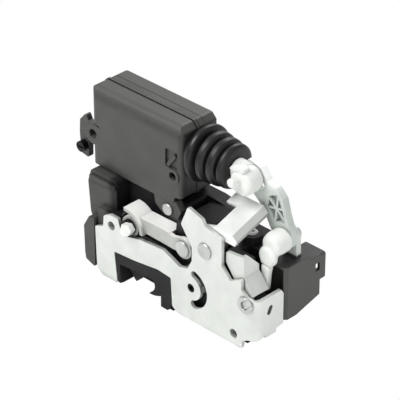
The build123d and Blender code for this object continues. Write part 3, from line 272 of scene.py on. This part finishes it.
def ring_surface(places, across, up, radii, sides=72):
    """Closed surface of revolution: place + radius (cos v across + sin v up), for v round a
    turn."""
    v = np.linspace(0, 2 * math.pi, sides, endpoint=False)[None, :, None]
    round_unit = np.cos(v) * np.asarray(across) + np.sin(v) * np.asarray(up)
    points = places[:, None, :] + radii[:, None, None] * round_unit
    return points.reshape(-1, 3), grid_faces(len(places), sides, True)


def softened(profile, steps=5, share=0.22):
    """Profile with its corners cut by short curves, which start a share of each side away."""
    p = np.asarray(profile, float)
    t = np.linspace(0, 1, steps)[None, :, None]
    before, corner, after = p[:-2, None], p[1:-1, None], p[2:, None]
    start, end = corner + share * (before - corner), corner + share * (after - corner)
    curve = (1 - t) ** 2 * start + 2 * t * (1 - t) * corner + t ** 2 * end
    return np.vstack([p[:1], curve.reshape(-1, 2), p[-1:]])


def turned_about_y(centre, profile):
    """Revolved form about an axis along Y through centre (X, Z), from (Y, radius) pairs, mm."""
    p = softened(profile)
    places = np.stack([np.full(len(p), centre[0]), p[:, 0], np.full(len(p), centre[1])], axis=-1)
    return ring_surface(places, (1, 0, 0), (0, 0, 1), p[:, 1])


def turned_about_x(centre, profile):
    """Revolved form about an axis along X through centre (Y, Z), from (X, radius) pairs, mm."""
    p = softened(profile)
    places = np.stack([p[:, 0], np.full(len(p), centre[0]), np.full(len(p), centre[1])], axis=-1)
    return ring_surface(places, (0, 1, 0), (0, 0, 1), p[:, 1])


def limb(stations, power=5.0, steps=8, sides=48):
    """Arm whose spine passes the stations (X, Y, Z, half width, half depth), mm. Its section is
    the superellipse |a/width|^power + |b/depth|^power = 1, with a square to the spine in the
    plane of X and Z and b along Y, and it rounds off over the first and last spans."""
    spine = eased(stations, steps)
    run = np.gradient(spine[:, [0, 2]], axis=0)
    run /= np.linalg.norm(run, axis=1, keepdims=True)
    side = np.stack([-run[:, 1], np.zeros(len(run)), run[:, 0]], axis=-1)
    u = np.linspace(-1, 1, len(spine))
    taper = np.clip(1 - np.abs(u) ** (2 * power), 0, 1) ** (1 / power)
    v = np.linspace(0, 2 * math.pi, sides, endpoint=False)
    a = np.sign(np.cos(v)) * np.abs(np.cos(v)) ** (2 / power)
    b = np.sign(np.sin(v)) * np.abs(np.sin(v)) ** (2 / power)
    width = (spine[:, 3] * taper)[:, None, None] * a[None, :, None]
    depth = (spine[:, 4] * taper)[:, None, None] * b[None, :, None]
    points = spine[:, None, :3] + width * side[:, None, :] + depth * np.array([0, 1, 0])
    return points.reshape(-1, 3), grid_faces(len(spine), sides, True)


def joined(name, surfaces):
    """One object from several (points in mm, faces) surfaces."""
    starts = np.cumsum([0] + [len(points) for points, _ in surfaces[:-1]])
    points = np.vstack([points for points, _ in surfaces])
    faces = np.vstack([faces + start for start, (_, faces) in zip(starts, surfaces)])
    return mesh_object(name, points * MM, faces)


# ---------------------------------------------------------------- settings
class LatchFinishes(bpy.types.PropertyGroup):
    """Colours of the latch's finishes."""
    housing: colour_property("Housing", "Black glass-filled nylon of the latch housing", "1C1C1E")
    shell: colour_property("Actuator shell", "Dark grey plastic of the actuator", "40413E")
    plug: colour_property("Connector", "Dark grey plastic of the connector", "434441")
    plate: colour_property("Face plate", "Zinc-plated steel of the pressings", "DEE1DD")
    # lever is the lit colour painted on the outside lever's upward faces; its other faces keep a
    # shaded grey.
    lever: colour_property("Outside lever", "Warm white zinc casting", "FBFBF8")
    white: colour_property("White plastic", "Natural acetal of the moving parts", "E2E4E0")
    nylon: colour_property("Link arm", "Natural translucent nylon", "C6CCC7")
    rubber: colour_property("Rubber", "Black rubber of the bellows", "151514")


class LatchSizes(bpy.types.PropertyGroup):
    """Sizes of the pieces made here."""
    knob: length_property("Crank knob", "Radius of the crank's upper knuckle", 6.5)
    rod_head: length_property("Rod head", "Radius of the rod end's round head", 7.3)


# ---------------------------------------------------------------- pieces
class LATCH_OT_pressings(bpy.types.Operator):
    """Finishes the face plate, the back plate and the sheet levers"""
    bl_idname = "latch.pressings"
    bl_label = "Pressings"

    def execute(self, context):
        chosen = context.scene.latch_finishes
        # Painted shade: this dark grey darkens the pressings' corners and creases, found by ambient
        # occlusion.
        painted_corner_shade = linear("4A4B45")
        plate = pressed("zinc_plated_steel_pressed", chosen.plate, linear("D2D5D1"), 0.45,
                        metallic=0.55, corners=(painted_corner_shade, 5, 0.55))
        # Painted shade: the lock lever's faces towards +X take the darker grey A6A8A6.
        bright = pressed("bright_zinc_steel_pressed", linear("F0F2F0"), linear("E4E6E4"), 0.4,
                         metallic=0.25, tones=[("facing", "X", 0.35, 0.8, linear("A6A8A6"))],
                         corners=(painted_corner_shade, 4, 0.3))
        # Painted light and shade on the outside lever: upward faces take the lit lever colour, the
        # other faces keep the shaded grey B4B6B1, and its corners darken.
        cast = moulded("zinc_alloy_die_cast", linear("B4B6B1"), linear("A2A49F"), 0.42, 0.6, 0.03,
                       0.4, 0.5, {"Metallic": 0.2}, [("facing", "Z", 0.3, 0.7, chosen.lever)],
                       (linear("55534E"), 3, 0.5))
        give("face_plate", plate)
        give("back_plate", plate)
        give("inside_release_lever", plate)
        give("lock_lever", bright)
        give("outside_release_lever", cast)
        return {"FINISHED"}


class LATCH_OT_mouldings(bpy.types.Operator):
    """Finishes the latch housing, the actuator shells and the connector"""
    bl_idname = "latch.mouldings"
    bl_label = "Mouldings"

    def execute(self, context):
        chosen = context.scene.latch_finishes
        black = moulded("nylon_glass_filled_moulded", chosen.housing, linear("0A0A0A"), 0.55,
                        0.5, 0.05, specular=0.3)
        # Painted light: the latch housing is a lighter grey at its left end, up to X -97 mm, fading
        # to its black by X -92 mm; painted shade darkens its corners and recesses.
        housing_lit_left_end = moulded("nylon_glass_filled_lit_left_end", linear("4B4C49"), linear("40413E"), 0.5,
                       0.5, 0.05, specular=0.18,
                       tones=[("at", "X", -97, -92, chosen.housing)],
                       corners=(linear("060606"), 4, 0.7))
        # Painted shade: a near black for corners, creases and the painted groove, and a darker grey
        # for faces towards +X.
        painted_recess_shade, lid, painted_end_face_shade = linear("232422"), linear("4A4B48"), linear("2C2D2B")
        # Painted light and shade on the actuator shell: a dark band from Z 84.5 to 91 mm under the
        # roof's rounded edge, lighter upward faces, darker faces towards +X, and darker corners.
        shell = moulded("polypropylene_moulded_shell", chosen.shell, linear("323430"), 0.48,
                        0.45, 0.04, 0.4,
                        tones=[("at", "Z", 84.5, 88.6, linear("2A2B29")),
                               ("at", "Z", 89.0, 91.0, chosen.shell),
                               ("facing", "Z", 0.5, 0.9, linear("494A47")),
                               ("facing", "X", 0.5, 0.9, painted_end_face_shade)],
                        corners=(painted_recess_shade, 3, 0.7))
        # Painted shade on the rear cover: a dark line 1 mm wide where a groove would be, darker
        # faces towards +X, and darker corners.
        cover = moulded("polypropylene_moulded_cover", lid, linear("3E3F3C"), 0.46,
                        0.45, 0.04, 0.4,
                        tones=[("at", "Y", 27.6, 27.8, painted_recess_shade),     # a painted groove, 1 mm wide
                               ("at", "Y", 28.4, 28.6, lid),
                               ("facing", "X", 0.5, 0.9, painted_end_face_shade)],
                        corners=(painted_recess_shade, 3, 0.7))
        # Painted shade on the connector: darker upward faces and darker corners; the nylon-coloured
        # lug above Z 37 mm is not shade.
        plug = moulded("polybutylene_moulded_connector", chosen.plug, linear("3B3C39"), 0.5,
                       0.5, 0.04, 0.5,
                       tones=[("facing", "Z", 0.5, 0.9, linear("30312F")),
                              ("at", "Z", 37.0, 38.0, chosen.nylon)],   # the lug, coloured as nylon
                       corners=(painted_recess_shade, 4, 0.7))
        for node in ("rear_cover", "fork_coating", "microswitch"):
            give(node, black)
        give("latch_housing", housing_lit_left_end)
        give("actuator_front_shell", shell)
        give("actuator_rear_cover", cover)
        give("connector_body", plug)
        return {"FINISHED"}


class LATCH_OT_white_parts(bpy.types.Operator):
    """Makes the rod end and the crank, and finishes the white and natural plastic parts"""
    bl_idname = "latch.white_parts"
    bl_label = "White parts"

    def clip(self):
        """Rod end: a round head and its cross pin turned about an axis across the plate, and a
        ribbed sleeve turned about the rod."""
        r = bpy.context.scene.latch_sizes.rod_head / MM
        head = turned_about_y(ROD_HEAD, [(15.2, 0), (15.2, r - 2.9), (15.7, r - 1.4),
                                         (17.0, r - 0.3), (19.0, r), (24.0, r),
                                         (26.0, r - 0.7), (26.7, r - 2.1), (26.7, 0)])
        cross = turned_about_y(ROD_PIN, [(10.0, 0), (10.0, 1.7), (10.6, 2.5), (17.0, 2.5),
                                         (32.0, 2.5), (32.2, 2.0), (32.2, 0)])
        ribs = [(SLEEVE_START + RIB_PITCH * k, 5.2 + 0.45 * (k % 2)) for k in range(SLEEVE_RIBS)]
        sleeve = turned_about_x(ROD_AXIS, [(SLEEVE_START, 3.1), *ribs, (SLEEVE_END, 3.1)])
        tongue = limb([(-9.0, 18.0, 82.4, 1.6, 2.4), (-12.5, 18.0, 83.4, 1.7, 2.6),
                       (-16.0, 18.0, 82.6, 1.7, 2.4), (-18.6, 18.0, 80.4, 1.6, 2.0)])
        return joined("rod_end_head", [head, cross, sleeve, tongue])

    def crank(self):
        """Crank: two knuckles turned about axes across the plate, and a thin tail."""
        r = bpy.context.scene.latch_sizes.knob / MM
        upper = turned_about_y(CRANK_PIVOT, [(16.0, 0), (16.0, r - 2.9), (17.2, r - 0.9),
                                             (20.4, r), (25.4, r), (26.5, r - 0.6),
                                             (26.9, r - 1.7), (26.9, 0)])
        lower = turned_about_y(CRANK_ELBOW, [(14.4, 0), (14.4, 3.8), (15.0, 5.0), (16.2, 5.6),
                                             (17.2, 5.6), (18.2, 4.8), (18.4, 3.8), (18.4, 0)])
        neck = limb([(8.4, 21.6, 51.0, 4.4, 2.4), (8.1, 19.8, 47.0, 4.8, 3.0),
                     (7.7, 16.8, 42.4, 4.8, 2.0), (7.0, 16.4, 36.5, 3.6, 1.8)])
        tail = limb([(7.0, 16.6, 37.0, 3.0, 2.0), (6.6, 16.5, 31.0, 2.3, 1.9),
                     (6.2, 16.5, 26.0, 2.3, 1.9), (6.0, 16.5, 21.6, 2.2, 1.8)])
        return joined("crank_moulding", [upper, lower, neck, tail])

    def execute(self, context):
        chosen = context.scene.latch_finishes
        white = moulded("acetal_moulded_natural", chosen.white, linear("D6D9D5"), 0.4, 0.8, 0.02,
                        0.4, 0.5, {"Subsurface Weight": 0.15, "Subsurface Radius": (0.002,) * 3})
        # Painted shade: the link arm darkens in its corners and creases, found by ambient
        # occlusion.
        nylon = moulded("nylon_moulded_natural", chosen.nylon, linear("B8BFB9"), 0.35, 0.9, 0.03,
                        0.4, 0.5, {"Subsurface Weight": 0.3, "Subsurface Radius": (0.003,) * 3},
                        tones=[("at", "Z", 70, 78, linear("EEF0EE"))],
                        corners=(linear("5F6660"), 3, 0.5))
        grey = moulded("acetal_moulded_grey", linear("4A4C49"), linear("3C3E3B"), 0.45, 0.8, 0.02)
        for node in ("lever_stop", "rod_guide", "drive_gear"):
            give(node, white)
        give("link_arm", nylon)
        give("locking_bellcrank", grey)
        for piece, body, node, made in ((self.clip(), "plunger", "rod_end_clip", white),
                                        (self.crank(), "lock_link", "lock_crank", white)):
            piece.data.materials.append(made)
            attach(piece, body)
            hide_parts(node)
        return {"FINISHED"}


class LATCH_OT_steel_parts(bpy.types.Operator):
    """Finishes the pins, rivets, screws, springs and the drive"""
    bl_idname = "latch.steel_parts"
    bl_label = "Steel parts"

    def execute(self, context):
        # Painted shade: the turned steel parts darken in their corners and creases, found by
        # ambient occlusion.
        bright = pressed("steel_turned_bright", linear("CDCFCC"), linear("B4B6B3"), 0.36, 0.2,
                         (1, 8, 1), corners=(linear("3A3A38"), 1.5, 0.8))
        screw = pressed("steel_screw_zinc_plated", linear("C9CBC8"), linear("A9ABA8"), 0.38, 0.2)
        stud = pressed("steel_stud_dull_zinc", linear("D2D3D0"), linear("BDBEBB"), 0.55, 0.2,
                       metallic=0.1)
        dark = pressed("steel_black_oxide", linear("2A2A2B"), linear("1C1C1D"), 0.42, 0.2)
        wire = pressed("spring_wire_oiled", linear("4E4F50"), linear("38393A"), 0.35, 0.1)
        blanked = pressed("steel_fine_blanked", linear("9A9B98"), linear("82837F"), 0.4, 0.2)
        brass = pressed("brass_stamped", linear("C9A860"), linear("B08F4A"), 0.35, 0.1)
        for node in ("fork_pin", "locking_rivet", "inner_pin", "crank_pin", "outside_lever_pin",
                     "actuator_rivet", "gear_pin", "plunger"):
            give(node, bright)
        give("housing_stud", stud)
        for node in ("housing_screws", "actuator_screws", "motor"):
            give(node, screw)
        for node in ("fork_spring", "pawl_spring", "outside_lever_spring"):
            give(node, wire)
        for node in ("fork_core", "pawl"):
            give(node, blanked)
        for node in ("connector_terminals", "motor_pinion"):
            give(node, brass)
        for node in ("fixing_screw", "bellcrank_pin"):
            give(node, dark)
        return {"FINISHED"}


class LATCH_OT_bellows(bpy.types.Operator):
    """Makes the rubber bellows between the actuator and the rod end"""
    bl_idname = "latch.bellows"
    bl_label = "Bellows"

    def execute(self, context):
        chosen = context.scene.latch_finishes
        rubber = moulded("rubber_moulded_black", chosen.rubber, linear("0C0C0C"), 0.4, 0.4, 0.03,
                         0.3, 0.42)
        give("striker_buffer", rubber)
        give("bellows", rubber)
        # distance along the rod and radius, mm, of the outer wall's crests and roots
        folds = [(-46.6, 12.4), (-44.6, 12.6), (-43.8, 15.1), (-42.6, 15.55), (-40.8, 15.3),
                 (-39.9, 13.0), (-39.2, 10.9), (-38.6, 10.9), (-37.8, 13.4), (-36.9, 13.95),
                 (-34.4, 13.7), (-33.4, 12.4), (-32.7, 10.2), (-32.1, 10.2), (-31.4, 12.5),
                 (-30.5, 13.05), (-28.0, 12.8), (-27.0, 11.4), (-26.3, 9.5), (-25.7, 9.5),
                 (-25.0, 11.6), (-24.1, 12.15), (-22.6, 11.9), (-21.8, 11.0), (-21.3, 9.4),
                 (-21.3, 3.1)]
        profile = softened(folds, 5, 0.3)
        turns = np.linspace(0, 2 * math.pi, BELLOWS_SIDES, endpoint=False)
        x, radius = profile[:, :1], profile[:, 1:]
        ring = np.stack([np.broadcast_to(x, (len(x), BELLOWS_SIDES)),
                         ROD_AXIS[0] + radius * np.cos(turns),
                         ROD_AXIS[1] + radius * np.sin(turns)], axis=-1)
        skin = mesh_object("bellows_skin", ring.reshape(-1, 3) * MM,
                           grid_faces(len(profile), BELLOWS_SIDES, True))
        skin.data.materials.append(rubber)
        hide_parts("bellows")
        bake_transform(skin)
        return {"FINISHED"}


class LATCH_OT_stage(bpy.types.Operator):
    """Makes the floor, the soft lights and the camera"""
    bl_idname = "latch.stage"
    bl_label = "Stage"

    LAMPS = (("key", (-0.25, -0.55, 0.95), 0.5, 9.0),      # name, place m, side m, power W
             ("fill", (0.9, -0.5, 0.35), 0.8, 2.5),
             ("back", (-0.3, 0.8, 0.7), 0.6, 4.0))
    LAMP_TARGET = (-0.05, 0.02, 0.04)                      # m
    SKY_ON_PIECES, SKY_IN_VIEW = 0.55, 1.0                 # strengths
    LENS, SENSOR = 216.0, 36.0                             # mm
    CAMERA_PLACE = (0.6847, -0.7157, 0.6853)               # m
    CAMERA_TURN, CAMERA_LIFT = 44.7, 31.5                  # degrees from the plate's front

    def floor(self):
        """Paper floor under the lowest solid, which the camera sees as plain white."""
        made, tree, _ = opened("paper_backdrop_white")
        path = add(tree, "ShaderNodeLightPath")
        paper = add(tree, "ShaderNodeBsdfDiffuse", {"Color": (0.9, 0.9, 0.9, 1)})
        white = add(tree, "ShaderNodeEmission", {"Color": (1, 1, 1, 1), "Strength": 1.0})
        mix = add(tree, "ShaderNodeMixShader", None,
                  {0: path.outputs["Is Camera Ray"], 1: paper.outputs[0], 2: white.outputs[0]})
        closed(tree, mix)
        lowest = CAD_BOX[0][2]
        corners = np.array([[FLOOR_HALF * x, FLOOR_HALF * y, lowest]
                            for x, y in ((-1, -1), (1, -1), (1, 1), (-1, 1))])
        floor = mesh_object("floor", corners, [(0, 1, 2, 3)], smooth=False)
        floor.data.materials.append(made)

    def sky(self, scene):
        """Even white surroundings, dimmer on the pieces than in the view."""
        world = bpy.data.worlds.new("studio")
        scene.world = world
        world.use_nodes = True
        world.node_tree.nodes.clear()
        path = add(world.node_tree, "ShaderNodeLightPath")
        seen = add(world.node_tree, "ShaderNodeMapRange",
                   {"To Min": self.SKY_ON_PIECES, "To Max": self.SKY_IN_VIEW},
                   {"Value": path.outputs["Is Camera Ray"]})
        sky = add(world.node_tree, "ShaderNodeBackground", {"Color": (1, 1, 1, 1)},
                  {"Strength": seen.outputs["Result"]})
        add(world.node_tree, "ShaderNodeOutputWorld", None, {"Surface": sky.outputs[0]})

    def lamps(self, collection):
        """Soft square lamps aimed at the middle of the latch."""
        for name, place, size, power in self.LAMPS:
            lamp = bpy.data.lights.new(name, "AREA")
            lamp.size = size
            lamp.energy = power
            shown = bpy.data.objects.new(name, lamp)
            shown.location = place
            aim = Vector(self.LAMP_TARGET) - Vector(place)
            shown.rotation_euler = aim.to_track_quat("-Z", "Y").to_euler()
            collection.objects.link(shown)

    def camera(self, scene, collection):
        """Camera with its right, up and back directions worked out from its turn and lift."""
        optics = bpy.data.cameras.new("camera")
        optics.lens = self.LENS
        optics.sensor_width = self.SENSOR
        shown = bpy.data.objects.new("camera", optics)
        turn, lift = math.radians(self.CAMERA_TURN), math.radians(self.CAMERA_LIFT)
        right = Vector((math.cos(turn), math.sin(turn), 0))
        up = Vector((-math.sin(turn) * math.sin(lift), math.cos(turn) * math.sin(lift),
                     math.cos(lift)))
        back = right.cross(up)
        shown.matrix_world = Matrix.Translation(self.CAMERA_PLACE) @ Matrix(
            (right, up, back)).transposed().to_4x4()
        collection.objects.link(shown)
        scene.camera = shown

    def execute(self, context):
        self.floor()
        self.sky(context.scene)
        self.lamps(context.collection)
        self.camera(context.scene, context.collection)
        context.scene.view_settings.view_transform = "Standard"
        return {"FINISHED"}


class LATCH_PT_pieces(bpy.types.Panel):
    """Shows the latch's finishes and sizes, and a button for each operator"""
    bl_idname = "LATCH_PT_pieces"
    bl_label = "Door latch actuator"
    bl_space_type = "VIEW_3D"
    bl_region_type = "UI"
    bl_category = "Latch"

    def draw(self, context):
        for group in (context.scene.latch_finishes, context.scene.latch_sizes):
            for name in group.bl_rna.properties.keys():
                if name not in ("rna_type", "name"):
                    self.layout.prop(group, name)
        for operator in OPERATORS:
            self.layout.operator(operator.bl_idname)


OPERATORS = (LATCH_OT_pressings, LATCH_OT_mouldings, LATCH_OT_white_parts, LATCH_OT_steel_parts,
             LATCH_OT_bellows, LATCH_OT_stage)
CLASSES = (LatchFinishes, LatchSizes, *OPERATORS, LATCH_PT_pieces)


def register():
    for item in CLASSES:
        bpy.utils.register_class(item)
    bpy.types.Scene.latch_finishes = PointerProperty(type=LatchFinishes)
    bpy.types.Scene.latch_sizes = PointerProperty(type=LatchSizes)


def unregister():
    del bpy.types.Scene.latch_finishes
    del bpy.types.Scene.latch_sizes
    for item in reversed(CLASSES):
        bpy.utils.unregister_class(item)


def main():
    register()
    for operator in OPERATORS:
        group, name = operator.bl_idname.split(".")
        getattr(getattr(bpy.ops, group), name)()
    bpy.context.view_layer.update()


if __name__ == "__main__":
    main()
